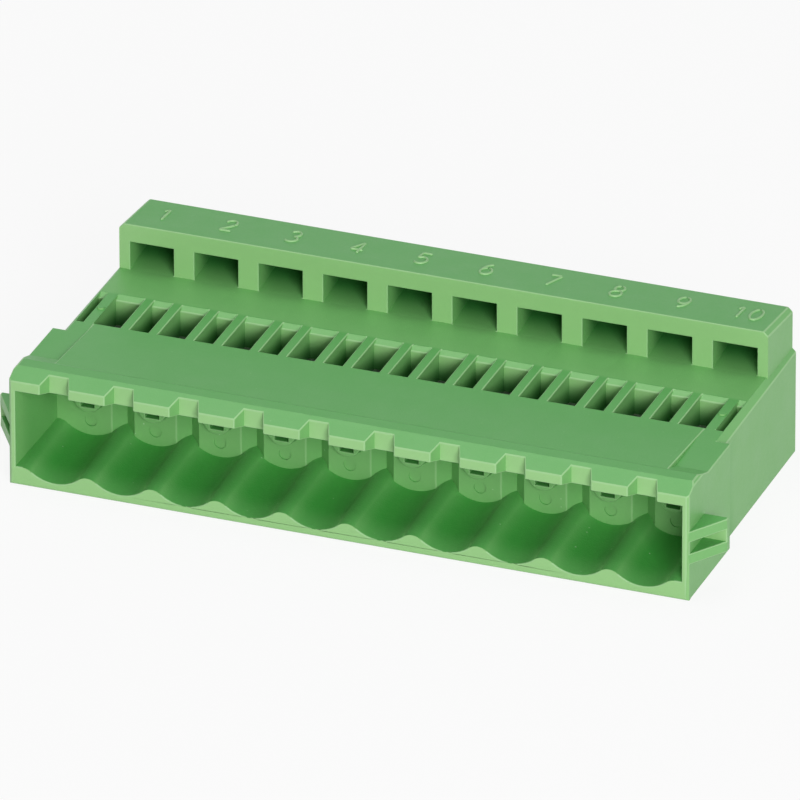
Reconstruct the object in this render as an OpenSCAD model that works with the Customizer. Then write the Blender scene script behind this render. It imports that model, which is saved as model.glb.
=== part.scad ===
/* [Poles] */
// Number of contact positions side by side
poles = 10; // [2:1:12]
// Distance from one position to the next
pitch = 5.08; // [5.0:0.01:5.2]

/* [Overall] */
// Length from the mating face to the wire side
depth = 25.1; // [24.6:0.1:32]
// Height of the flat rear deck above the resting face
deck_h = 8.6; // [8.4:0.1:11]
// Rear body beyond the outermost pitch line, on each side
body_margin = 0.42; // [0.3:0.01:0.5]
// Shroud beyond the outermost pitch line, on each side
shroud_margin = 1.05; // [0.8:0.05:1.6]
// Inward slope of each rear body side over its length
side_draft = 0.12; // [0:0.01:0.15]

/* [Shroud] */
// Length of the wide front shroud
shroud_d = 8.9; // [8.4:0.1:9.6]
// Rise of the lip line above deck level
lip_rise = 0.55; // [0.3:0.05:0.8]
// Fall from the lip line to the top of the mating face
lip_fall = 0.65; // [0.45:0.05:0.85]
// Distance from the mating face to the lip line
lip_d = 1.44; // [1.2:0.01:1.8]
// Where the lip begins to fall at the two ends
end_fall_start = 2.5; // [2.0:0.1:3.0]
// Where the fall at the two ends reaches deck level
end_fall_end = 4.2; // [3.4:0.1:5.0]
// Width of each low end of the lip, counted from the shroud side
low_end_w = 2.6; // [1.5:0.1:3.0]
// Small bevel on the upright and top edges of the shroud
shroud_bevel = 0.2; // [0.1:0.05:0.3]
// Rounding of the lower front edge
toe_r = 0.3; // [0.1:0.05:0.5]

/* [Cavity] */
// Distance from the mating face to the contact bosses
cavity_d = 7.3; // [6.6:0.1:8.2]
// Side wall at the mouth of the shroud
mouth_wall = 0.52; // [0.4:0.01:0.7]
// Side wall behind the lead-in
lead_wall = 0.65; // [0.55:0.01:0.8]
// Side wall beside the bosses
boss_wall = 0.93; // [0.8:0.01:1.2]
// Depth of the lead-in round the mouth
lead_d = 1.25; // [0.8:0.05:1.6]
// Underside of the top wall at the mouth, counted down from deck level
roof_mouth_drop = 0.88; // [0.7:0.01:1.0]
// Underside of the top wall behind the lead-in, counted down from deck level
roof_lead_drop = 1.15; // [1.0:0.01:1.3]
// Underside of the top wall beside the bosses, counted down from deck level
roof_boss_drop = 1.3; // [1.15:0.01:1.5]
// Radius of each flute
flute_r = 3.0; // [2.8:0.05:3.3]
// Height of the rounded crests above the flutes
crest_rise = 0.9; // [0.7:0.05:1.0]
// Crest radius as a share of the radius that would run smoothly into the flutes
crest_ease = 1.03; // [1.02:0.01:1.1]
// Lowest line of the flutes at the mouth
flute_mouth_h = 0.62; // [0.5:0.01:0.8]
// Lowest line of the flutes behind the lead-in
flute_lead_h = 0.82; // [0.7:0.01:1.0]
// Lowest line of the flutes beside the bosses
flute_boss_h = 1.18; // [1.0:0.01:1.4]

/* [Coding notches] */
// Width of each notch at the mating face
notch_front_w = 2.26; // [1.8:0.02:2.6]
// Width of each notch at its back
notch_back_w = 1.46; // [1.0:0.02:1.7]
// Depth of each notch
notch_d = 1.0; // [0.6:0.05:1.1]

/* [Contact bosses] */
// Width of the flat face of each boss
boss_face_w = 3.28; // [2.8:0.02:3.6]
// Depth of the groove between two bosses
groove_d = 0.9; // [0.5:0.05:1.2]
// Diameter of the collar round each pin hole, at its root
collar_root_d = 2.5; // [2.3:0.05:2.8]
// Diameter of the collar round each pin hole, at its tip
collar_tip_d = 2.25; // [2.1:0.05:2.3]
// Height of the collar above the boss face
collar_l = 0.7; // [0.3:0.05:1.0]
// Height of the pin axis above the resting face
pin_axis_h = 4.5; // [4.3:0.05:4.6]
// Width of the pin hole
pin_hole_w = 1.05; // [0.9:0.05:1.2]
// Height of the pin hole
pin_hole_h = 1.5; // [1.2:0.05:1.6]
// Diameter of the shallow round mark below each collar
mark_d = 0.96; // [0.6:0.02:1.1]
// Depth of the shallow round mark
mark_deep = 0.12; // [0.05:0.01:0.2]
// Height of the centre of the round mark
mark_h = 2.35; // [2.2:0.05:2.5]

/* [Contact chambers] */
// Width of each chamber
chamber_w = 3.7; // [3.4:0.05:3.9]
// Height of each chamber
chamber_h = 4.6; // [4.2:0.05:5.2]
// Height of the chamber floor above the resting face
chamber_floor_h = 1.6; // [1.4:0.05:1.8]
// Wall between a boss groove and the front end of a chamber
chamber_front_wall = 1.6; // [1.2:0.1:2.0]
// Lead-in bevel of each wire entry
entry_bevel = 0.4; // [0.2:0.05:0.5]

/* [Deck slots] */
// Distance from the mating face to the front end of the slots
slot_start = 10.6; // [10.4:0.1:11.4]
// Length of the slots
slot_l = 5.0; // [4.0:0.1:5.6]
// Width of the window slots over the chambers
window_w = 2.1; // [1.7:0.05:2.3]
// Width of the blind slots over the walls
blind_w = 1.45; // [1.2:0.05:1.5]
// Depth of the blind slots
blind_deep = 2.1; // [1.5:0.05:2.2]
// Thin wall outside each end slot
end_slot_wall = 0.54; // [0.4:0.02:0.6]
// Length of the bevel at the rear end of the slots
slot_bevel_l = 0.45; // [0.3:0.05:0.8]
// Height of the bevel at the rear end of the slots
slot_bevel_h = 0.3; // [0.2:0.05:0.6]
// Radius of the gate mark on each end rib
gate_r = 0.3; // [0.2:0.02:0.35]
// Height of the gate mark on each end rib
gate_h = 0.12; // [0.05:0.01:0.2]

/* [Rear ridge] */
// Length of the ridge along the wire side
ridge_d = 5.4; // [5.0:0.1:6.4]
// Height of the ridge front edge above deck level
ridge_front_rise = 3.7; // [3.3:0.1:4.4]
// Height of the ridge rear edge above deck level
ridge_rear_rise = 3.2; // [2.8:0.1:3.6]
// Inset of the ridge ends from the rear body sides
ridge_inset = 0.4; // [0.3:0.02:0.6]
// Bevel along the ends of the ridge top
ridge_bevel = 0.35; // [0.2:0.05:0.5]
// Width of each pocket in the ridge front
pocket_w = 3.44; // [3.0:0.02:3.8]
// Height of each pocket at its mouth
pocket_h = 2.25; // [1.9:0.05:2.5]
// Depth of each pocket
pocket_d = 3.7; // [3.0:0.1:4.0]
// Rise of the pocket floor over its depth
pocket_rise = 0.45; // [0.2:0.05:0.6]
// Bevel along the top side edges of the rear body
deck_bevel = 0.5; // [0.3:0.05:0.7]

/* [Side lugs] */
// How far each lug stands out from the shroud side
lug_out = 1.85; // [1.2:0.05:2.4]
// Distance from the mating face to the front of the lugs
lug_start = 0.2; // [0.1:0.05:0.4]
// Distance from the mating face to the rear of the lugs
lug_end = 3.4; // [2.8:0.1:4.0]
// Height of the underside of the lugs
lug_floor_h = 2.95; // [2.6:0.05:3.2]
// Height of the lugs from underside to top
lug_h = 2.65; // [2.4:0.05:3.0]
// Thickness of the two bars of each lug
lug_bar = 0.85; // [0.6:0.05:1.0]
// Thickness of the rear wall that joins the two bars of each lug
lug_back = 0.35; // [0.2:0.05:0.5]

/* [Hidden] */
$fn = 48;
body_green = "#5fa65c";
eps = 0.5;
pole_span = poles * pitch;
body_half = pole_span / 2 + body_margin;
shroud_half = pole_span / 2 + shroud_margin;
lip_h = deck_h + lip_rise;
face_h = lip_h - lip_fall;
roof_mouth_h = deck_h - roof_mouth_drop;
roof_lead_h = deck_h - roof_lead_drop;
roof_boss_h = deck_h - roof_boss_drop;
ridge_front_h = deck_h + ridge_front_rise;
ridge_rear_h = deck_h + ridge_rear_rise;
low_start = shroud_half - low_end_w;
fall_end = slot_start - 0.2;
ridge_start = depth - ridge_d;
ridge_half = body_half - ridge_inset;
chamber_start = cavity_d + groove_d + chamber_front_wall;
chamber_roof_h = chamber_floor_h + chamber_h;
slot_end = slot_start + slot_l;
groove_half = (pitch - boss_face_w) / 2;
groove_back = cavity_d + groove_d;
tangent_r = (pow(pitch / 2, 2) + pow(crest_rise, 2)) / (2 * crest_rise) - flute_r;
crest_r = crest_ease * tangent_r;
knee_h = flute_r - (flute_r + tangent_r - crest_rise) * flute_r / (flute_r + tangent_r);

// Centre of one position, counted from 0 at the left
function pole_x(i) = (i - (poles - 1) / 2) * pitch;

// Line between two positions, counted from 0 at the left end
function gap_x(i) = (i - poles / 2) * pitch;

// Value at y on the straight line through (y0, v0) and (y1, v1)
function on_line(y, y0, v0, y1, v1) = v0 + (v1 - v0) * (y - y0) / (y1 - y0);

// Runs an outline drawn in (depth, height) along the width
module across(half) {
    translate([-half, 0, 0])
        rotate([90, 0, 90])
            linear_extrude(2 * half)
                children();
}

// Runs an outline drawn in (width, height) along the depth
module along(y0, y1) {
    translate([0, y1, 0])
        rotate([90, 0, 0])
            linear_extrude(y1 - y0)
                children();
}

// Runs an outline from front to back on the slope through (y0, h0) and (y1, h1)
module along_slope(y0, h0, y1, h1, front, back) {
    tilt = atan((h1 - h0) / (y1 - y0));
    translate([0, back, on_line(back, y0, h0, y1, h1)])
        rotate([90 + tilt, 0, 0])
            linear_extrude((back - front) / cos(tilt))
                children();
}

// Outline of a box with its two upper corners bevelled
module bevelled_outline(half, height, bevel) {
    polygon([
        [-half, 0],
        [half, 0],
        [half, height - bevel],
        [half - bevel, height],
        [-half + bevel, height],
        [-half, height - bevel]
    ]);
}

// Rounded lower front edge, shared by the side outlines
module toe_outline() {
    translate([toe_r, toe_r])
        circle(toe_r);
}

// Rear body: flat deck, bevelled top edges, slightly drafted sides
module rear_body() {
    back_half = body_half - side_draft;
    intersection() {
        along(cavity_d, depth)
            bevelled_outline(body_half, deck_h, deck_bevel);
        linear_extrude(deck_h)
            polygon([
                [-body_half, cavity_d],
                [body_half, cavity_d],
                [body_half, shroud_d],
                [back_half, depth],
                [-back_half, depth],
                [-body_half, shroud_d]
            ]);
    }
}

// Side outline of the shroud at its low ends
module shroud_end_outline() {
    toe_outline();
    polygon([
        [toe_r, 0],
        [shroud_d, 0],
        [shroud_d, deck_h],
        [end_fall_end, deck_h],
        [end_fall_start, lip_h],
        [lip_d, lip_h],
        [0, face_h],
        [0, toe_r]
    ]);
}

// Side outline of the long slope from the lip back to the deck
module lip_slope_outline() {
    polygon([
        [0, deck_h - lip_d],
        [shroud_d, deck_h - lip_d],
        [fall_end, deck_h],
        [lip_d, lip_h],
        [0, face_h]
    ]);
}

// Front shroud with its lip
module shroud() {
    bevel = shroud_bevel;
    intersection() {
        across(shroud_half)
            shroud_end_outline();
        along(0, shroud_d)
            bevelled_outline(shroud_half, lip_h, bevel);
        linear_extrude(lip_h)
            polygon([
                [-shroud_half + bevel, 0],
                [shroud_half - bevel, 0],
                [shroud_half, bevel],
                [shroud_half, shroud_d],
                [-shroud_half, shroud_d],
                [-shroud_half, bevel]
            ]);
    }
    across(low_start)
        lip_slope_outline();
}

// Ridge along the wire side, its top falling to the rear
module ridge() {
    intersection() {
        across(ridge_half)
            translate([ridge_start, deck_h - ridge_bevel])
                square([ridge_d, ridge_front_h - deck_h + 2 * ridge_bevel]);
        along_slope(
            ridge_start, ridge_front_h, depth, ridge_rear_h, ridge_start - 2 * eps, depth + 2 * eps
        )
            translate([0, -ridge_front_h])
                bevelled_outline(ridge_half, ridge_front_h, ridge_bevel);
    }
}

// One lug on the right side: two wedge bars joined by a thin rear wall
module lug() {
    tip = shroud_half + lug_out;
    root = shroud_half - mouth_wall / 2;
    wall_start = lug_end - lug_back;
    translate([0, 0, lug_floor_h])
        difference() {
            linear_extrude(lug_h)
                polygon([
                    [root, lug_start],
                    [shroud_half, lug_start],
                    [tip, wall_start],
                    [tip, lug_end],
                    [root, lug_end]
                ]);
            translate([shroud_half, lug_start - eps, lug_bar])
                cube([lug_out + eps, wall_start - lug_start + eps, lug_h - 2 * lug_bar]);
        }
}

// Gate mark on each end rib of the deck
module gate_marks() {
    rib_x = (pole_x(poles - 1) + window_w / 2 + gap_x(poles) - blind_w / 2) / 2;
    for (side = [-1, 1])
        translate([side * rib_x, (slot_start + slot_end) / 2, deck_h - gate_h])
            cylinder(h = 2 * gate_h, r = gate_r);
}

// Hollow above the waved floor: a flute per position, rounded crests between
module wave_outline() {
    difference() {
        union() {
            for (i = [0:poles - 1])
                translate([pole_x(i), flute_r])
                    circle(flute_r);
            translate([-shroud_half, knee_h])
                square([2 * shroud_half, lip_h]);
        }
        for (i = [0:poles])
            translate([gap_x(i), crest_rise - crest_r])
                circle(crest_r);
        for (side = [-1, 1])
            translate([side * (pole_span / 2 + shroud_half) / 2, crest_rise / 2])
                square([shroud_half - pole_span / 2, crest_rise], center = true);
    }
}

// Waved floor on the slope through two points, run the whole depth of the cavity
module wave_run(y0, h0, y1, h1) {
    along_slope(y0, h0, y1, h1, -2 * eps, groove_back + 2 * eps)
        wave_outline();
}

// Plan outline of the cavity with the V grooves that part the bosses
module cavity_plan() {
    mouth = shroud_half - mouth_wall;
    lead = shroud_half - lead_wall;
    inner = shroud_half - boss_wall;
    front = on_line(-eps, 0, mouth, lead_d, lead);
    polygon([
        [-front, -eps],
        [front, -eps],
        [lead, lead_d],
        [inner, cavity_d],
        [-inner, cavity_d],
        [-lead, lead_d]
    ]);
    for (i = [1:poles - 1])
        translate([gap_x(i), cavity_d])
            polygon([
                [-groove_half, -eps],
                [groove_half, -eps],
                [groove_half, 0],
                [0, groove_d],
                [-groove_half, 0]
            ]);
}

// Side outline of the cavity under its roof
module cavity_side() {
    back = groove_back + eps;
    polygon([
        [-eps, 0],
        [back, 0],
        [back, on_line(back, lead_d, roof_lead_h, cavity_d, roof_boss_h)],
        [lead_d, roof_lead_h],
        [-eps, on_line(-eps, 0, roof_mouth_h, lead_d, roof_lead_h)]
    ]);
}

// Hollow of the shroud in front of the bosses
module cavity_space() {
    intersection() {
        linear_extrude(lip_h)
            cavity_plan();
        across(shroud_half)
            cavity_side();
        union() {
            wave_run(0, flute_mouth_h, lead_d, flute_lead_h);
            wave_run(lead_d, flute_lead_h, cavity_d, flute_boss_h);
        }
    }
}

// Collars round the pin holes
module collars() {
    for (i = [0:poles - 1])
        translate([pole_x(i), cavity_d, pin_axis_h])
            rotate([90, 0, 0])
                cylinder(h = collar_l, d1 = collar_root_d, d2 = collar_tip_d);
}

// Coding notches through the front lip, one over each position
module coding_notches() {
    slope = (notch_front_w - notch_back_w) / 2 / notch_d;
    for (i = [0:poles - 1])
        translate([pole_x(i), 0, roof_boss_h - eps])
            linear_extrude(lip_h)
                polygon([
                    [-notch_front_w / 2 - slope * eps, -eps],
                    [notch_front_w / 2 + slope * eps, -eps],
                    [notch_back_w / 2, notch_d],
                    [-notch_back_w / 2, notch_d]
                ]);
}

// Pin hole, shallow mark and wire chamber of one position
module contact_way() {
    translate([-pin_hole_w / 2, cavity_d - collar_l - eps, pin_axis_h - pin_hole_h / 2])
        cube([pin_hole_w, chamber_start - cavity_d + collar_l + 2 * eps, pin_hole_h]);
    translate([0, cavity_d + mark_deep, mark_h])
        rotate([90, 0, 0])
            cylinder(h = mark_deep + eps, d = mark_d);
    translate([-chamber_w / 2, chamber_start, chamber_floor_h])
        cube([chamber_w, depth - chamber_start + eps, chamber_h]);
}

// Bevelled mouth of one wire entry: four sloping cuts
module entry_lead() {
    mid_h = chamber_floor_h + chamber_h / 2;
    reach = entry_bevel + eps;
    translate([0, depth, mid_h]) {
        intersection() {
            linear_extrude(chamber_h + 2 * reach, center = true)
                polygon([
                    [-chamber_w / 2, -entry_bevel],
                    [chamber_w / 2, -entry_bevel],
                    [chamber_w / 2 + reach, eps],
                    [-chamber_w / 2 - reach, eps]
                ]);
            across(chamber_w / 2 + reach)
                polygon([
                    [-entry_bevel, -chamber_h / 2],
                    [eps, -chamber_h / 2 - reach],
                    [eps, chamber_h / 2 + reach],
                    [-entry_bevel, chamber_h / 2]
                ]);
        }
    }
}

// One slot in the deck with the bevel at its rear end
module deck_slot(x0, x1, floor_h) {
    translate([(x0 + x1) / 2, 0, 0])
        across((x1 - x0) / 2)
            polygon([
                [slot_start, floor_h],
                [slot_end - slot_bevel_l, floor_h],
                [slot_end - slot_bevel_l, deck_h - slot_bevel_h],
                [slot_end, deck_h],
                [slot_end, deck_h + eps],
                [slot_start, deck_h + eps]
            ]);
}

// Windows over the chambers, blind slots over the walls, half slots at the ends
module deck_slots() {
    blind_floor_h = deck_h - blind_deep;
    end_outer = body_half - end_slot_wall;
    for (i = [0:poles - 1])
        deck_slot(pole_x(i) - window_w / 2, pole_x(i) + window_w / 2, chamber_roof_h - eps);
    for (i = [1:poles - 1])
        deck_slot(gap_x(i) - blind_w / 2, gap_x(i) + blind_w / 2, blind_floor_h);
    deck_slot(-end_outer, gap_x(0) + blind_w / 2, blind_floor_h);
    deck_slot(gap_x(poles) - blind_w / 2, end_outer, blind_floor_h);
}

// Blind pockets in the ridge front, one behind each position
module ridge_pockets() {
    for (i = [0:poles - 1])
        translate([pole_x(i), 0, 0])
            across(pocket_w / 2)
                polygon([
                    [ridge_start - eps, deck_h],
                    [ridge_start, deck_h],
                    [ridge_start + pocket_d, deck_h + pocket_rise],
                    [ridge_start + pocket_d, deck_h + pocket_h],
                    [ridge_start - eps, deck_h + pocket_h]
                ]);
}

// The one-piece moulded housing
module housing() {
    color(body_green)
        translate([0, -depth / 2, 0])
            difference() {
                union() {
                    difference() {
                        union() {
                            rear_body();
                            shroud();
                            ridge();
                            lug();
                            mirror([1, 0, 0])
                                lug();
                            gate_marks();
                        }
                        cavity_space();
                        coding_notches();
                    }
                    collars();
                }
                for (i = [0:poles - 1])
                    translate([pole_x(i), 0, 0]) {
                        contact_way();
                        entry_lead();
                    }
                deck_slots();
                ridge_pockets();
            }
}

housing();
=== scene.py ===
"""Looks of a ten-position pin-side terminal housing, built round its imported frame.

The housing is one green polyamide moulding.  Its frame mesh is copied, merged and
given fine edge radii; raised position numerals are swept on the ridge top; and the
whole is shown on a pale floor under soft studio light.  All lengths are in metres.
"""

import logging
import math
from dataclasses import dataclass, field
from enum import Enum

import bmesh
import bpy
import numpy as np
from mathutils import Matrix, Vector
from mathutils.bvhtree import BVHTree


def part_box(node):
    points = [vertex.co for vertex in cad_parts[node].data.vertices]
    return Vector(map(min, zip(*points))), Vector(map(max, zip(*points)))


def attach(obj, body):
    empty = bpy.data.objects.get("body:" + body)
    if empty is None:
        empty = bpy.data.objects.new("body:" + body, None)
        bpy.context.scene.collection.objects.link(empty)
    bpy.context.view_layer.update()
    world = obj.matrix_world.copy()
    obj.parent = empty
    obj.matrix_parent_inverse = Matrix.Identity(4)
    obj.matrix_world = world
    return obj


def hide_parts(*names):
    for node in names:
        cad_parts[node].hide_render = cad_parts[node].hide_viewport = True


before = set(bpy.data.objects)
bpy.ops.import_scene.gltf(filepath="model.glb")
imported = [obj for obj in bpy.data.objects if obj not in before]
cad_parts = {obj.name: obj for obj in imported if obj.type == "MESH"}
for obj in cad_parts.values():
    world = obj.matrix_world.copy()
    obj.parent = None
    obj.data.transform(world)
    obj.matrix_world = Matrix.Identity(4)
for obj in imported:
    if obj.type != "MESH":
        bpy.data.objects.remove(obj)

LOG = logging.getLogger("terminal_housing")
MM = 0.001
BODY = "root"
NODE = "housing"

Color = tuple[float, float, float]
Point = tuple[float, float, float]


# ---------------------------------------------------------------- shader maths


class MathOp(Enum):
    """Operations of a Math node that the finishes use."""

    ADD = "ADD"
    SUBTRACT = "SUBTRACT"
    MULTIPLY = "MULTIPLY"
    MAXIMUM = "MAXIMUM"
    ABSOLUTE = "ABSOLUTE"


class Graph:
    """Builds the nodes of one material or world."""

    def __init__(self, tree: bpy.types.NodeTree) -> None:
        """Takes a node tree and empties it.

        Args:
            tree: Node tree to fill.
        """
        self.tree = tree
        tree.nodes.clear()

    def node(
        self,
        kind: str,
        settings: dict[str, object] | None = None,
        sockets: dict[str | int, object] | None = None,
    ) -> bpy.types.Node:
        """Adds one node, sets it up and links it.

        Args:
            kind: Blender type name of the node.
            settings: Attributes of the node, set before its sockets.
            sockets: Values or links by the name or index of the input.

        Returns:
            The new node.
        """
        new = self.tree.nodes.new(kind)
        for name, value in (settings or {}).items():
            setattr(new, name, value)
        for name, value in (sockets or {}).items():
            self.connect(new.inputs[name], value)
        return new

    def connect(self, target: bpy.types.NodeSocket, value: object) -> None:
        """Links a value's socket to an input, or writes a plain value there.

        Args:
            target: Input socket.
            value: A Value, a socket, a number or a tuple.
        """
        if isinstance(value, Value):
            value = value.socket
        if isinstance(value, bpy.types.NodeSocket):
            self.tree.links.new(value, target)
        elif isinstance(value, tuple) and len(value) == 3 and target.type == "RGBA":
            target.default_value = (*value, 1.0)
        else:
            target.default_value = value

    def value(self, kind: str, output: str, settings: dict[str, object] | None = None,
              sockets: dict[str | int, object] | None = None) -> "Value":
        """Adds a node and returns one of its outputs as a Value.

        Args:
            kind: Blender type name of the node.
            output: Name of the output to return.
            settings: Attributes of the node.
            sockets: Values or links of its inputs.

        Returns:
            The output wrapped for shader maths.
        """
        return Value(self, self.node(kind, settings, sockets).outputs[output])

    def mix(self, share: object, first: object, second: object) -> "Value":
        """Mixes two colours.

        Args:
            share: Share of the second colour, from 0 to 1.
            first: Colour at share 0.
            second: Colour at share 1.

        Returns:
            The mixed colour.
        """
        new = self.node("ShaderNodeMix", {"data_type": "RGBA", "clamp_factor": True})
        self.connect(new.inputs[0], share)
        self.connect(new.inputs[6], first)
        self.connect(new.inputs[7], second)
        return Value(self, new.outputs[2])

    def ramp(self, value: object, low: float, high: float,
             start: float = 0.0, end: float = 1.0) -> "Value":
        """Smooth step from start to end as a value goes from low to high.

        Args:
            value: Number to map.
            low: Value at which the result is start.
            high: Value at which the result is end.
            start: Result at and below low.
            end: Result at and above high.

        Returns:
            The mapped number.
        """
        settings = {"interpolation_type": "SMOOTHSTEP", "clamp": True}
        wired = {0: value, 1: low, 2: high, 3: start, 4: end}
        return self.value("ShaderNodeMapRange", "Result", settings, wired)

    def noise(self, where: object, scale: float, detail: float = 2.0,
              roughness: float = 0.5) -> "Value":
        """Fractal noise from 0 to 1.

        Args:
            where: Coordinates in metres.
            scale: Features per metre.
            detail: Octaves.
            roughness: Weight of the finer octaves.

        Returns:
            The noise value.
        """
        wired = {"Vector": where, "Scale": scale, "Detail": detail, "Roughness": roughness}
        settings = {"noise_dimensions": "3D"}
        return self.value("ShaderNodeTexNoise", "Fac", settings, wired)


class Value:
    """A socket that adds Math nodes when it is used in an expression."""

    def __init__(self, graph: Graph, socket: bpy.types.NodeSocket) -> None:
        """Wraps an output socket.

        Args:
            graph: Graph that the socket belongs to.
            socket: Output to wrap.
        """
        self.graph = graph
        self.socket = socket

    def _math(self, op: MathOp, *args: object) -> "Value":
        """Adds a Math node with these inputs and returns its result."""
        wired = dict(enumerate(args))
        return self.graph.value("ShaderNodeMath", "Value", {"operation": op.value}, wired)

    def __add__(self, other: object) -> "Value":
        """Sum."""
        return self._math(MathOp.ADD, self, other)

    def __radd__(self, other: object) -> "Value":
        """Sum with a number on the left."""
        return self._math(MathOp.ADD, other, self)

    def __sub__(self, other: object) -> "Value":
        """Difference."""
        return self._math(MathOp.SUBTRACT, self, other)

    def __rsub__(self, other: object) -> "Value":
        """Difference from a number on the left."""
        return self._math(MathOp.SUBTRACT, other, self)

    def __mul__(self, other: object) -> "Value":
        """Product."""
        return self._math(MathOp.MULTIPLY, self, other)

    def __rmul__(self, other: object) -> "Value":
        """Product with a number on the left."""
        return self._math(MathOp.MULTIPLY, other, self)

    def __neg__(self) -> "Value":
        """Negative."""
        return self._math(MathOp.MULTIPLY, self, -1.0)

    def __abs__(self) -> "Value":
        """Absolute value."""
        return self._math(MathOp.ABSOLUTE, self)

    def most(self, other: object) -> "Value":
        """Larger of two numbers."""
        return self._math(MathOp.MAXIMUM, self, other)


# -------------------------------------------------------------------- finishes


@dataclass(frozen=True)
class Layout:
    """Places on the housing that the finishes and the numerals refer to.

    Attributes:
        front_y: Mating face.
        half_width: Half of the shroud's width, without the lugs.
        pitch: Distance between positions.
        poles: Number of positions.
        deck_z: Height of the deck.
        ridge_y: Front of the ridge.
        band_y: Front of the paler band before the ridge.
        slots_y: Front of the zone that holds the slots.
        slots_end_y: Rear of the zone that holds the slots.
        roof_z: Underside of the shroud's roof.
    """

    front_y: float
    half_width: float
    pitch: float = 5.08 * MM
    poles: int = 10
    deck_z: float = 8.6 * MM
    ridge_y: float = 0.0
    band_y: float = 0.0
    slots_y: float = 0.0
    slots_end_y: float = 0.0
    roof_z: float = 7.4 * MM

    @classmethod
    def measured(cls) -> "Layout":
        """Layout taken from the box of the frame's housing."""
        low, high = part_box(NODE)
        lug_out = 1.85 * MM
        ridge_depth = 5.4 * MM
        band_depth = 4.3 * MM
        slots_back = 10.3 * MM
        slots_length = 5.4 * MM
        ridge_y = high.y - ridge_depth
        return cls(
            front_y=low.y,
            half_width=high.x - lug_out,
            ridge_y=ridge_y,
            band_y=ridge_y - band_depth,
            slots_y=low.y + slots_back,
            slots_end_y=low.y + slots_back + slots_length,
        )

    def pole_x(self, index: int) -> float:
        """Centre line of one position, counted from 0 at the left."""
        return (index - (self.poles - 1) / 2) * self.pitch


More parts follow.
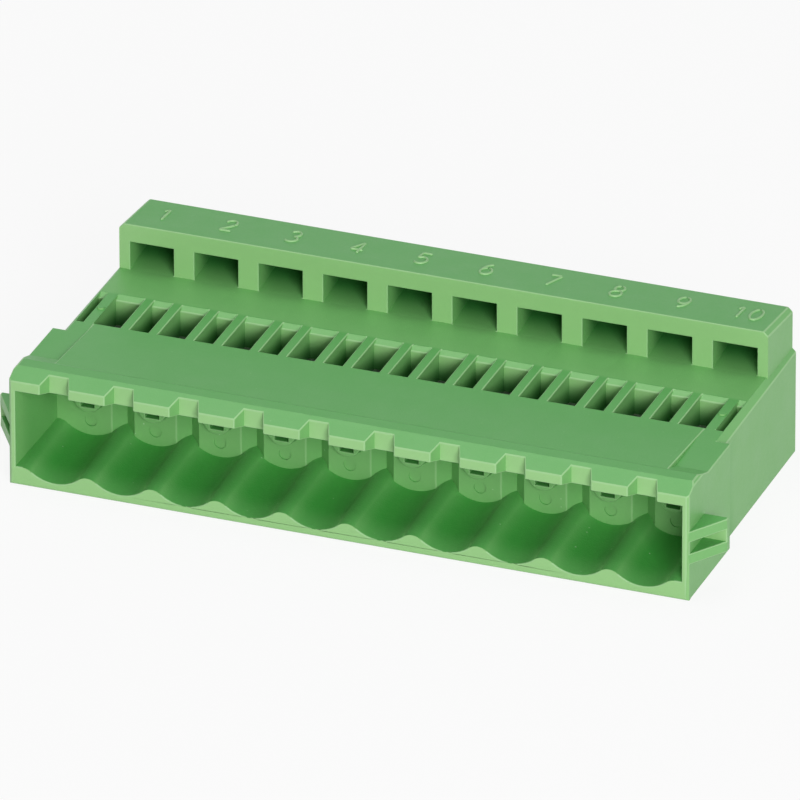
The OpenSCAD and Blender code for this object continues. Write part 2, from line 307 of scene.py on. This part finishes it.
@dataclass(frozen=True)
class MouldedPolyamide:
    """Green polyamide as it leaves a spark-eroded mould.

    Attributes:
        cavity_shade: Painted shade: darker, more saturated colour low in the cavity.
        mid: Base colour, seen on the upper faces.
        pale: Painted light: paler colour of the faces toward the front and sides, standing in for
            the key light and the sheen they catch.
        recess_shade: Painted shade in the slots and pockets.
        edge_highlight: Painted highlight on the fine edge radii.
        dust: Colour of dust specks.
        roughness: Mean roughness.
        roughness_cloud: Spread of the roughness over large patches.
        roughness_fine: Spread of the roughness from speck to speck.
        patch_scale: Features per metre of the roughness patches.
        fine_scale: Features per metre of the fine roughness.
        cloud_scale: Features per metre of the colour clouds.
        speckle_scale: Features per metre of the colour speckle.
        mottle: Spread of the paleness by clouds and by speckle.
        side_painted_light: Share of the painted light that the faces to the sides get.
        band_paleness: Paleness of the deck band before the ridge.
        cavity_shade_calm: Share of the painted light that the cavity's painted shade takes away.
        edge_highlight_share: Share of the painted highlight colour on the edge radii.
        edge_highlight_calm: Share of the painted edge highlight that the cavity's painted shade
            takes away.
        edge_highlight_spread: Spread of the painted edge highlight's share by clouds.
        recess_shade_share: Strength of the painted shade in the slots and pockets.
        dust_scale: Dust cells per metre.
        dust_share: Strength of the dust outside the cavity.
        dust_gain: Strength that the cavity adds to the dust.
        refraction: Index of refraction.
        grain: Height of the mould grain.
        grain_scale: Features per metre of the grain.
        wave_scale: Features per metre of the coarser waves.
        wave_gain: Height of the waves as a multiple of the grain.
    """

    # Painted shade: deep and recess. Painted light: pale and rim. The base colour is mid; dust is
    # real dust.
    cavity_shade: Color = (0.052, 0.330, 0.052)
    mid: Color = (0.100, 0.385, 0.090)
    pale: Color = (0.300, 0.575, 0.225)
    recess_shade: Color = (0.020, 0.160, 0.025)
    edge_highlight: Color = (0.340, 0.600, 0.280)
    dust: Color = (0.55, 0.72, 0.50)
    roughness: float = 0.46
    roughness_cloud: float = 0.16
    roughness_fine: float = 0.12
    patch_scale: float = 420.0
    fine_scale: float = 5200.0
    cloud_scale: float = 160.0
    speckle_scale: float = 2600.0
    mottle: float = 0.10
    side_painted_light: float = 0.45
    band_paleness: float = 0.32
    cavity_shade_calm: float = 0.5
    edge_highlight_share: float = 0.75
    edge_highlight_calm: float = 0.35
    edge_highlight_spread: float = 0.25
    recess_shade_share: float = 0.9
    dust_scale: float = 1500.0
    dust_share: float = 0.12
    dust_gain: float = 0.45
    refraction: float = 1.52
    grain: float = 0.012 * MM
    grain_scale: float = 7800.0
    wave_scale: float = 700.0
    wave_gain: float = 1.6

    def material(self, layout: Layout, edge: bool) -> bpy.types.Material:
        """Makes the material of the faces or of the edge radii.

        Args:
            layout: Places on the housing.
            edge: Whether the material is for the edge radii.

        Returns:
            The material.
        """
        # The edge material carries the painted edge highlight.
        name = "polyamide_edge_highlight" if edge else "polyamide_face"
        made = bpy.data.materials.new(name)
        made.use_nodes = True
        graph = Graph(made.node_tree)
        where = graph.value("ShaderNodeTexCoord", "Object")
        facing = graph.value("ShaderNodeTexCoord", "Normal")
        color = self._color(graph, where, facing, layout, edge)
        height = self._height(graph, where)
        patch = graph.noise(where, self.patch_scale, 3.0) - 0.5
        fine = graph.noise(where, self.fine_scale, 2.0) - 0.5
        roughness = self.roughness + patch * self.roughness_cloud + fine * self.roughness_fine
        bump = graph.node("ShaderNodeBump", None, {
            "Strength": 1.0, "Distance": 1.0, "Height": height})
        shader = graph.node("ShaderNodeBsdfPrincipled", None, {
            "Base Color": color,
            "Roughness": roughness,
            "IOR": self.refraction,
            "Normal": bump.outputs["Normal"],
        })
        graph.node("ShaderNodeOutputMaterial", None, {"Surface": shader.outputs["BSDF"]})
        made.diffuse_color = (*self.mid, 1.0)
        return made

    def _color(self, graph: Graph, where: Value, facing: Value, layout: Layout,
               edge: bool) -> Value:
        """Colour by facing, depth in the cavity and mottling, with painted light and shade.

        Faces toward the front and sides get painted light and turn paler than upper ones;
        in the cavity painted shade deepens the colour from the mouth back to the bosses
        and towards its floor.

        Args:
            graph: Graph to build in.
            where: Coordinates in metres.
            facing: Surface normal.
            layout: Places on the housing.
            edge: Whether the colour is for the edge radii.

        Returns:
            The colour.
        """
        split = graph.node("ShaderNodeSeparateXYZ", None, {0: where})
        x, y, z = (Value(graph, split.outputs[i]) for i in range(3))
        turned = graph.node("ShaderNodeSeparateXYZ", None, {0: facing})
        side, front, _ = (Value(graph, turned.outputs[i]) for i in range(3))
        # Painted light: faces toward the front and the sides turn paler, standing in for the key
        # light and the sheen they catch.
        toward_front = graph.ramp(-front, 0.25, 0.95)
        toward_side = graph.ramp(abs(side), 0.25, 0.95)
        paleness = toward_front.most(toward_side * self.side_painted_light)
        cavity = self._cavity(graph, x, y, z, layout)
        cloud = graph.noise(where, self.cloud_scale, 3.0) - 0.5
        speckle = graph.noise(where, self.speckle_scale, 3.0, 0.6) - 0.5
        # Painted shade: low in the cavity the colour turns darker and more saturated.
        floor = graph.ramp(z, 1.1 * MM, 2.1 * MM, 1.0, 0.0)
        paleness = paleness.most(self._band(graph, y, z, layout) * self.band_paleness)
        # Painted shade: the cavity takes away part of the painted light.
        paleness = paleness * (1.0 - cavity * self.cavity_shade_calm)
        paleness = paleness + cloud * self.mottle + speckle * self.mottle
        color = graph.mix(cavity * floor, self.mid, self.cavity_shade)
        color = graph.mix(paleness, color, self.pale)
        # Painted shade in the pockets and the slots.
        color = graph.mix(self._painted_recess_shade(graph, x, y, z, layout), color, self.recess_shade)
        # Painted highlight on the edge radii, weaker under the cavity's painted shade.
        if edge:
            share = self.edge_highlight_share - cavity * self.edge_highlight_calm + cloud * self.edge_highlight_spread
            color = graph.mix(share, color, self.edge_highlight)
        return self._dusted(graph, where, color, cavity)

    def _cavity(self, graph: Graph, x: Value, y: Value, z: Value, layout: Layout) -> Value:
        """Mask of the shroud's cavity, rising from its mouth.

        Args:
            graph: Graph to build in.
            x: Place along the width.
            y: Place along the depth.
            z: Height.
            layout: Places on the housing.

        Returns:
            The mask, 1 inside the cavity.
        """
        front, wall = layout.front_y, layout.half_width
        inside = graph.ramp(y, front + 0.3 * MM, front + 3.0 * MM)
        before = graph.ramp(y, front + 12.0 * MM, front + 9.5 * MM, 0.0, 1.0)
        under = graph.ramp(z, layout.roof_z + 0.1 * MM, layout.roof_z + 0.3 * MM, 1.0, 0.0)
        between = graph.ramp(abs(x), wall - 0.4 * MM, wall - 0.1 * MM, 1.0, 0.0)
        return inside * before * under * between

    def _band(self, graph: Graph, y: Value, z: Value, layout: Layout) -> Value:
        """Mask of the deck band before the ridge and of the walls under it.

        Args:
            graph: Graph to build in.
            y: Place along the depth.
            z: Height.
            layout: Places on the housing.

        Returns:
            The mask, 1 on the band.
        """
        behind = graph.ramp(y, layout.band_y, layout.band_y + 0.5 * MM)
        level = layout.deck_z
        return behind * graph.ramp(z, level + 0.2 * MM, level + 0.4 * MM, 1.0, 0.0)

    def _painted_recess_shade(self, graph: Graph, x: Value, y: Value, z: Value, layout: Layout) -> Value:
        """Mask of the painted shade in the pockets' depths and on the lower walls of the slots.

        Args:
            graph: Graph to build in.
            x: Place along the width.
            y: Place along the depth.
            z: Height.
            layout: Places on the housing.

        Returns:
            The mask, 1 where the painted shade is darkest.
        """
        wall, ridge, level = layout.half_width, layout.ridge_y, layout.deck_z
        between = graph.ramp(abs(x), wall - 1.3 * MM, wall - 1.1 * MM, 1.0, 0.0)
        into = graph.ramp(y, ridge + 0.3 * MM, ridge + 3.0 * MM)
        before = graph.ramp(y, ridge + 3.8 * MM, ridge + 4.2 * MM, 1.0, 0.0)
        under = graph.ramp(z, level + 2.3 * MM, level + 2.4 * MM, 1.0, 0.0)
        pockets = into * before * under * between
        down = graph.ramp(z, level - 2.2 * MM, level - 0.3 * MM, 1.0, 0.0)
        after = graph.ramp(y, layout.slots_y, layout.slots_y + 0.1 * MM)
        until = graph.ramp(y, layout.slots_end_y, layout.slots_end_y + 0.1 * MM, 1.0, 0.0)
        slots = down * between * after * until
        return pockets.most(slots) * self.recess_shade_share

    def _dusted(self, graph: Graph, where: Value, color: Value, cavity: Value) -> Value:
        """Adds sparse pale dust specks, most of them in the cavity.

        Args:
            graph: Graph to build in.
            where: Coordinates in metres.
            color: Colour under the dust.
            cavity: Strength of the cavity mask.

        Returns:
            The dusted colour.
        """
        cells = graph.node("ShaderNodeTexVoronoi", None, {
            "Vector": where, "Scale": self.dust_scale})
        spot = graph.ramp(Value(graph, cells.outputs["Distance"]), 0.05, 0.13, 1.0, 0.0)
        pick = graph.node("ShaderNodeSeparateColor", None, {0: cells.outputs["Color"]})
        chosen = graph.ramp(Value(graph, pick.outputs[0]), 0.86, 0.9)
        share = spot * chosen * (self.dust_share + cavity * self.dust_gain)
        return graph.mix(share, color, self.dust)

    def _height(self, graph: Graph, where: Value) -> Value:
        """Height of the mould grain, coarser waves under finer grain.

        Args:
            graph: Graph to build in.
            where: Coordinates in metres.

        Returns:
            Height in metres.
        """
        grain = graph.noise(where, self.grain_scale, 2.0, 0.6)
        waves = graph.noise(where, self.wave_scale, 2.0)
        return grain * self.grain + waves * (self.grain * self.wave_gain)


@dataclass(frozen=True)
class StudioPaper:
    """Matt white paper of the floor.

    Attributes:
        shade: Colour of the paper.
        fleck: Colour of its faint flecks.
        lift: Share of plain white that straight sight lines see.
    """

    shade: Color = (0.86, 0.86, 0.86)
    fleck: Color = (0.8, 0.8, 0.79)
    lift: float = 0.88

    def material(self) -> bpy.types.Material:
        """Makes the paper: it takes the shadow and reads as white in the view.

        Returns:
            The material.
        """
        made = bpy.data.materials.new("studio_paper")
        made.use_nodes = True
        graph = Graph(made.node_tree)
        where = graph.value("ShaderNodeTexCoord", "Object")
        share = graph.noise(where, 900.0, 2.0) * 0.05
        tone = graph.mix(share, self.shade, self.fleck)
        matt = graph.node("ShaderNodeBsdfPrincipled", None, {
            "Base Color": tone, "Roughness": 0.9, "Specular IOR Level": 0.2})
        white = graph.node("ShaderNodeEmission", None, {"Color": (1.0, 1.0, 1.0), "Strength": 1.0})
        seen = sight_rays(graph) * self.lift
        both = graph.node("ShaderNodeMixShader", None, {
            0: seen, 1: matt.outputs[0], 2: white.outputs[0]})
        graph.node("ShaderNodeOutputMaterial", None, {"Surface": both.outputs[0]})
        return made


def sight_rays(graph: Graph) -> Value:
    """Mask that is 1 for camera, glossy and transmission rays.

    Args:
        graph: Graph to build in.

    Returns:
        The mask.
    """
    path = graph.node("ShaderNodeLightPath")
    camera = Value(graph, path.outputs["Is Camera Ray"])
    glossy = Value(graph, path.outputs["Is Glossy Ray"])
    through = Value(graph, path.outputs["Is Transmission Ray"])
    return camera.most(glossy).most(through)


# -------------------------------------------------------------------- moulding


@dataclass
class Moulding:
    """The housing's visible body: the frame's mesh with fine edge radii.

    Attributes:
        layout: Places on the housing.
        finish: Polyamide finish.
        edge_radius: Width of the fine edge radii.
        segments: Faces across an edge radius.
        sharp_angle: Angle from which an edge counts as an edge.
        crease_angle: Angle from which the shading breaks at an edge.
        flat_angle: Angle below which two faces count as one flat face.
        shortest: Edges shorter than this keep no radius.
        narrowest: Faces narrower than this beside an edge keep it without a radius.
        toe_reach: Height and depth of the rounded lower front edge.
        merge: Distance within which loose corners are joined.
    """

    layout: Layout
    finish: MouldedPolyamide
    edge_radius: float = 0.08 * MM
    segments: int = 2
    sharp_angle: float = math.radians(34.0)
    crease_angle: float = math.radians(12.0)
    flat_angle: float = math.radians(0.6)
    shortest: float = 0.16 * MM
    narrowest: float = 0.12 * MM
    toe_reach: float = 0.31 * MM
    merge: float = 0.0005 * MM

    def build(self) -> bpy.types.Object:
        """Builds the body and puts it in the frame node's place.

        Returns:
            The body.
        """
        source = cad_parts[NODE]
        mesh = source.data.copy()
        mesh.name = "moulding"
        self._prepare(mesh)
        body = bpy.data.objects.new("moulding", mesh)
        bpy.context.scene.collection.objects.link(body)
        mesh.materials.clear()
        mesh.materials.append(self.finish.material(self.layout, edge=False))
        mesh.materials.append(self.finish.material(self.layout, edge=True))
        self._soften(body)
        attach(body, BODY)
        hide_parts(NODE)
        return body

    def _prepare(self, mesh: bpy.types.Mesh) -> None:
        """Joins loose corners, marks flat faces and weights the outer edges.

        Args:
            mesh: Mesh to change.
        """
        work = bmesh.new()
        work.from_mesh(mesh)
        bmesh.ops.remove_doubles(work, verts=work.verts, dist=self.merge)
        weight = work.edges.layers.float.new("bevel_weight_edge")
        for edge in work.edges:
            if len(edge.link_faces) != 2:
                continue
            turn = edge.calc_face_angle_signed(0.0)
            edge.smooth = abs(turn) < self.crease_angle
            outer = turn > self.sharp_angle and edge.calc_length() > self.shortest
            if outer and not self._in_toe(edge) and not self._cramped(edge):
                edge[weight] = 1.0
        for face in work.faces:
            turns = [abs(edge.calc_face_angle_signed(0.0)) for edge in face.edges]
            face.smooth = any(self.flat_angle < turn < self.crease_angle for turn in turns)
            face.material_index = 0
        work.to_mesh(mesh)
        work.free()

    def _cramped(self, edge: bmesh.types.BMEdge) -> bool:
        """Tells whether a face beside an edge is too narrow for a radius.

        Args:
            edge: Edge to test.

        Returns:
            True beside a narrow face.
        """
        length = edge.calc_length()
        return any(2.0 * f.calc_area() / length < self.narrowest for f in edge.link_faces)

    def _in_toe(self, edge: bmesh.types.BMEdge) -> bool:
        """Tells whether an edge lies on the rounded lower front edge.

        Args:
            edge: Edge to test.

        Returns:
            True on the rounded toe.
        """
        low = all(v.co.z < self.toe_reach for v in edge.verts)
        fore = all(v.co.y < self.layout.front_y + self.toe_reach for v in edge.verts)
        return low and fore

    def _soften(self, body: bpy.types.Object) -> None:
        """Adds the edge radii.

        Args:
            body: Object to finish.
        """
        radii = body.modifiers.new("edge_radii", "BEVEL")
        radii.limit_method = "WEIGHT"
        radii.width = self.edge_radius
        radii.segments = self.segments
        radii.use_clamp_overlap = False
        radii.loop_slide = False
        radii.harden_normals = True
        # The radii take the edge material, which carries the painted edge highlight.
        radii.material = 1


# -------------------------------------------------------------------- numerals


@dataclass(frozen=True)
class Arc:
    """Part of an ellipse in a glyph's unit box.

    Attributes:
        center: Centre of the ellipse.
        radii: Its half width and half height.
        start: Angle in degrees where the stroke begins.
        end: Angle in degrees where it ends.
    """

    center: tuple[float, float]
    radii: tuple[float, float]
    start: float
    end: float

    def points(self, count: int) -> np.ndarray:
        """Points centre + (a cos t, b sin t) for t from start to end.

        Args:
            count: Number of points.

        Returns:
            Points as a count by 2 array.
        """
        turn = np.radians(np.linspace(self.start, self.end, count))
        ring = np.stack([np.cos(turn), np.sin(turn)], axis=1)
        return np.array(self.center) + ring * np.array(self.radii)


@dataclass(frozen=True)
class Line:
    """Straight stroke in a glyph's unit box.

    Attributes:
        start: One end.
        end: Other end.
    """

    start: tuple[float, float]
    end: tuple[float, float]

    def points(self, count: int) -> np.ndarray:
        """Points start + t (end - start) for t from 0 to 1.

        Args:
            count: Number of points.

        Returns:
            Points as a count by 2 array.
        """
        share = np.linspace(0.0, 1.0, count)[:, None]
        return np.array(self.start) * (1.0 - share) + np.array(self.end) * share


Stroke = Arc | Line

GLYPHS: dict[str, tuple[Stroke, ...]] = {
    "0": (Arc((0.5, 0.5), (0.36, 0.5), 90, 450),),
    "1": (Line((0.55, 0.0), (0.55, 1.0)), Line((0.55, 1.0), (0.28, 0.78))),
    "2": (
        Arc((0.5, 0.72), (0.36, 0.28), 165, -30),
        Line((0.81, 0.58), (0.12, 0.0)),
        Line((0.12, 0.0), (0.88, 0.0)),
    ),
    "3": (
        Arc((0.48, 0.75), (0.34, 0.25), 150, -90),
        Arc((0.48, 0.25), (0.38, 0.25), 90, -150),
    ),
    "4": (
        Line((0.68, 0.0), (0.68, 1.0)),
        Line((0.68, 1.0), (0.1, 0.3)),
        Line((0.1, 0.3), (0.92, 0.3)),
    ),
    "5": (
        Line((0.84, 1.0), (0.24, 1.0)),
        Line((0.24, 1.0), (0.18, 0.54)),
        Arc((0.48, 0.31), (0.38, 0.31), 142, -150),
    ),
    "6": (
        Arc((0.5, 0.31), (0.36, 0.31), 90, 450),
        Arc((0.84, 0.33), (0.7, 0.67), 105, 180),
    ),
    "7": (Line((0.14, 1.0), (0.86, 1.0)), Line((0.86, 1.0), (0.36, 0.0))),
    "8": (
        Arc((0.5, 0.76), (0.3, 0.24), 90, 450),
        Arc((0.5, 0.27), (0.37, 0.27), 90, 450),
    ),
    "9": (
        Arc((0.5, 0.69), (0.36, 0.31), 90, 450),
        Arc((0.16, 0.67), (0.7, 0.67), -75, 0),
    ),
}


@dataclass
class PositionNumerals:
    """Raised numerals along the ridge top, one number for each position.

    Attributes:
        layout: Places on the housing.
        surface: Tree of the frame's mesh, to stand the numerals on.
        width: Width of one digit.
        height: Length of one digit from its foot to its head.
        stroke: Width of a stroke.
        rise: Height of a stroke above the ridge.
        center_back: Distance from the mating face to the numerals' middle.
        spacing: Distance between the middles of two digits of one number.
        path_points: Points along a stroke.
        ring_points: Points round a stroke.
        sample_reach: Distance from the middle at which the ridge's height is read.
        merge: Distance within which corners are joined.
    """

    layout: Layout
    surface: BVHTree
    width: float = 1.2 * MM
    height: float = 2.0 * MM
    stroke: float = 0.2 * MM
    rise: float = 0.12 * MM
    center_back: float = 22.5 * MM
    spacing: float = 1.3 * MM
    path_points: int = 24
    ring_points: int = 10
    sample_reach: float = 1.5 * MM
    merge: float = 0.0005 * MM

    def build(self, finish: bpy.types.Material) -> bpy.types.Object:
        """Builds all the numerals as one mesh.

        Args:
            finish: Material of the numerals.

        Returns:
            The numerals.
        """
        parts: list[np.ndarray] = []
        for index in range(self.layout.poles):
            parts.extend(self._number(index))
        mesh = self._mesh(parts)
        mesh.materials.append(finish)
        numerals = bpy.data.objects.new("position_numerals", mesh)
        bpy.context.scene.collection.objects.link(numerals)
        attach(numerals, BODY)
        return numerals

    def _number(self, index: int) -> list[np.ndarray]:
        """Strokes of the number of one position.

        Args:
            index: Position, counted from 0.

        Returns:
            A grid of points for each stroke.
        """
        digits = str(index + 1)
        first = self.layout.pole_x(index) - self.spacing * (len(digits) - 1) / 2
        middle_y = self.layout.front_y + self.center_back
        grids = []
        for place, digit in enumerate(digits):
            corner = np.array([
                first + place * self.spacing - self.width / 2,
                middle_y - self.height / 2,
            ])
            for part in GLYPHS[digit]:
                flat = corner + part.points(self.path_points) * (self.width, self.height)
                grids.append(self._bead(flat))
        return grids

    def _bead(self, flat: np.ndarray) -> np.ndarray:
        """Sweeps an ellipse along a path to make a rounded bead.

        A point of the bead is path + r(s) (n w cos a) + z h sin a, where n is the
        path's normal, w half the stroke's width, h its rise, and r(s) the height of
        a half circle over each end of the path and 1 between, so the ends are round.

        Args:
            flat: Path as an n by 2 array.

        Returns:
            Grid of points, path by ring by 3.
        """
        step = np.gradient(flat, axis=0)
        step /= np.linalg.norm(step, axis=1, keepdims=True)
        normal = np.stack([-step[:, 1], step[:, 0]], axis=1)
        run = np.concatenate([[0.0], np.cumsum(np.linalg.norm(np.diff(flat, axis=0), axis=1))])
        half = self.stroke / 2
        near = np.minimum(run, run[-1] - run)
        inset = np.clip(1.0 - near / half, 0.0, 1.0)
        girth = np.sqrt(np.clip(1.0 - inset**2, 0.0, 1.0))
        turn = np.linspace(0.0, 2.0 * np.pi, self.ring_points, endpoint=False)
        across = girth[:, None] * half * np.cos(turn)[None, :]
        up = girth[:, None] * self.rise * np.sin(turn)[None, :]
        plan = flat[:, None, :] + normal[:, None, :] * across[:, :, None]
        ground = self._ground(flat)[:, None]
        return np.concatenate([plan, (ground + up)[:, :, None]], axis=2)

    def _ground(self, flat: np.ndarray) -> np.ndarray:
        """Height of the ridge top under a path.

        The top is flat and slopes back, so height is a straight line through two
        heights read from the frame.

        Args:
            flat: Path as an n by 2 array.

        Returns:
            Height under each point.
        """
        middle = self.layout.front_y + self.center_back
        spots = (middle - self.sample_reach, middle + self.sample_reach)
        heights = []
        for y in spots:
            above, down = Vector((0.0, y, 1.0)), Vector((0.0, 0.0, -1.0))
            hit, _, _, _ = self.surface.ray_cast(above, down)
            heights.append(hit.z)
        slope = (heights[1] - heights[0]) / (spots[1] - spots[0])
        return heights[0] + slope * (flat[:, 1] - spots[0])

    def _mesh(self, grids: list[np.ndarray]) -> bpy.types.Mesh:
        """Joins stroke grids into one mesh of closed beads.

        Args:
            grids: Grids of points, path by ring by 3.

        Returns:
            The mesh.
        """
        rows, ring = grids[0].shape[:2]
        along, around = np.meshgrid(np.arange(rows - 1), np.arange(ring), indexing="ij")
        after = (around + 1) % ring
        one = np.stack([
            along * ring + around,
            along * ring + after,
            (along + 1) * ring + after,
            (along + 1) * ring + around,
        ], axis=2).reshape(-1, 4)
        size = rows * ring
        faces = (one[None] + (np.arange(len(grids)) * size)[:, None, None]).reshape(-1, 4)
        points = np.stack(grids).reshape(-1, 3)
        mesh = bpy.data.meshes.new("position_numerals")
        mesh.from_pydata(points.tolist(), [], faces.tolist())
        work = bmesh.new()
        work.from_mesh(mesh)
        bmesh.ops.remove_doubles(work, verts=work.verts, dist=self.merge)
        bmesh.ops.recalc_face_normals(work, faces=work.faces)
        for face in work.faces:
            face.smooth = True
        work.to_mesh(mesh)
        work.free()
        return mesh


# ---------------------------------------------------------------------- studio


@dataclass(frozen=True)
class Lamp:
    """A square soft box.

    Attributes:
        name: Name of the lamp.
        place: Where it stands.
        size: Length of its side.
        power: Power in watts.
        color: Colour of its light.
    """

    name: str
    place: Point
    size: float
    power: float
    color: Color = (1.0, 1.0, 1.0)

    def build(self, target: Vector) -> bpy.types.Object:
        """Makes the lamp and points it at the target.

        Args:
            target: Point to light.

        Returns:
            The lamp.
        """
        data = bpy.data.lights.new(self.name, "AREA")
        data.size = self.size
        data.energy = self.power
        data.color = self.color
        lamp = bpy.data.objects.new(self.name, data)
        bpy.context.scene.collection.objects.link(lamp)
        lamp.location = self.place
        aim = target - Vector(self.place)
        lamp.rotation_euler = aim.to_track_quat("-Z", "Y").to_euler()
        return lamp


@dataclass
class Studio:
    """Floor, lamps, surroundings and camera.

    Attributes:
        azimuth: Camera's angle round from the mating side to the right.
        elevation: Camera's height angle.
        roll: Camera's tilt about its line of sight.
        distance: Camera's distance from what it looks at.
        lens: Focal length in millimetres.
        look_at: Point near the middle of the view.
        shift_right: Shift of the camera along the view's width.
        shift_up: Shift of the camera along the view's height.
        lamp_target: Point that the lamps light.
        floor_half: Half of the floor's side.
        floor_lines: Grid lines each way on the floor.
        ambient: Strength of the surroundings as light.
        lamps: Soft boxes.
    """

    azimuth: float = math.radians(20.772)
    elevation: float = math.radians(27.213)
    roll: float = math.radians(-0.103)
    distance: float = 1.4918
    lens: float = 917.9
    look_at: Point = (0.0, -0.80 * MM, 6.0 * MM)
    shift_right: float = -0.27 * MM
    shift_up: float = 0.013 * MM
    lamp_target: Point = (0.0, 0.0, 5.0 * MM)
    floor_half: float = 2.0
    floor_lines: int = 9
    ambient: float = 0.22
    lamps: tuple[Lamp, ...] = field(default_factory=lambda: (
        Lamp("key_box", (0.36, -0.55, 0.28), 0.28, 3.5),
        Lamp("top_box", (-0.10, 0.05, 0.75), 0.45, 1.7),
    ))

    def build(self) -> None:
        """Builds the floor, lamps, surroundings and camera."""
        self._floor()
        for lamp in self.lamps:
            lamp.build(Vector(self.lamp_target))
        self._surroundings()
        self._camera()
        bpy.context.scene.view_settings.view_transform = "Standard"

    def _floor(self) -> None:
        """Lays the floor under the housing as a grid z = 0."""
        side = np.linspace(-self.floor_half, self.floor_half, self.floor_lines)
        x, y = np.meshgrid(side, side, indexing="ij")
        points = np.stack([x, y, np.zeros_like(x)], axis=2).reshape(-1, 3)
        count = self.floor_lines
        i, j = np.meshgrid(np.arange(count - 1), np.arange(count - 1), indexing="ij")
        low = (i * count + j).ravel()
        faces = np.stack([low, low + count, low + count + 1, low + 1], axis=1)
        mesh = bpy.data.meshes.new("floor")
        mesh.from_pydata(points.tolist(), [], faces.tolist())
        mesh.materials.append(StudioPaper().material())
        floor = bpy.data.objects.new("floor", mesh)
        bpy.context.scene.collection.objects.link(floor)

    def _surroundings(self) -> None:
        """Makes the surroundings white to sight and dimmer as light."""
        world = bpy.data.worlds.new("surroundings")
        world.use_nodes = True
        graph = Graph(world.node_tree)
        seen = sight_rays(graph)
        strength = seen + (1.0 - seen) * self.ambient
        back = graph.node("ShaderNodeBackground", None, {
            "Color": (1.0, 1.0, 1.0), "Strength": strength})
        graph.node("ShaderNodeOutputWorld", None, {"Surface": back.outputs[0]})
        bpy.context.scene.world = world

    def _camera(self) -> None:
        """Places the camera on its sight line."""
        back = Vector((
            math.sin(self.azimuth) * math.cos(self.elevation),
            -math.cos(self.azimuth) * math.cos(self.elevation),
            math.sin(self.elevation),
        ))
        right = Vector((math.cos(self.azimuth), math.sin(self.azimuth), 0.0))
        up = back.cross(right)
        place = Vector(self.look_at) + right * self.shift_right + up * self.shift_up
        place += back * self.distance
        turn = Matrix((right, up, back)).transposed() @ Matrix.Rotation(self.roll, 3, "Z")
        data = bpy.data.cameras.new("camera")
        data.sensor_width = 36.0
        data.lens = self.lens
        data.clip_start = 0.01
        data.clip_end = 20.0
        camera = bpy.data.objects.new("camera", data)
        bpy.context.scene.collection.objects.link(camera)
        camera.matrix_world = Matrix.Translation(place) @ turn.to_4x4()
        bpy.context.scene.camera = camera


def main() -> None:
    """Builds the housing's looks and the studio."""
    logging.basicConfig(level=logging.INFO, format="%(name)s: %(message)s")
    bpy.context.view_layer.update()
    layout = Layout.measured()
    finish = MouldedPolyamide()
    graph = bpy.context.evaluated_depsgraph_get()
    surface = BVHTree.FromObject(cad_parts[NODE], graph)
    body = Moulding(layout, finish).build()
    LOG.info("%s: %d corners before its radii", body.name, len(body.data.vertices))
    # The numerals take the edge material, so they carry its painted highlight too.
    numerals = PositionNumerals(layout, surface).build(body.data.materials[1])
    LOG.info("%s: %d corners", numerals.name, len(numerals.data.vertices))
    Studio().build()


if __name__ == "__main__":
    main()
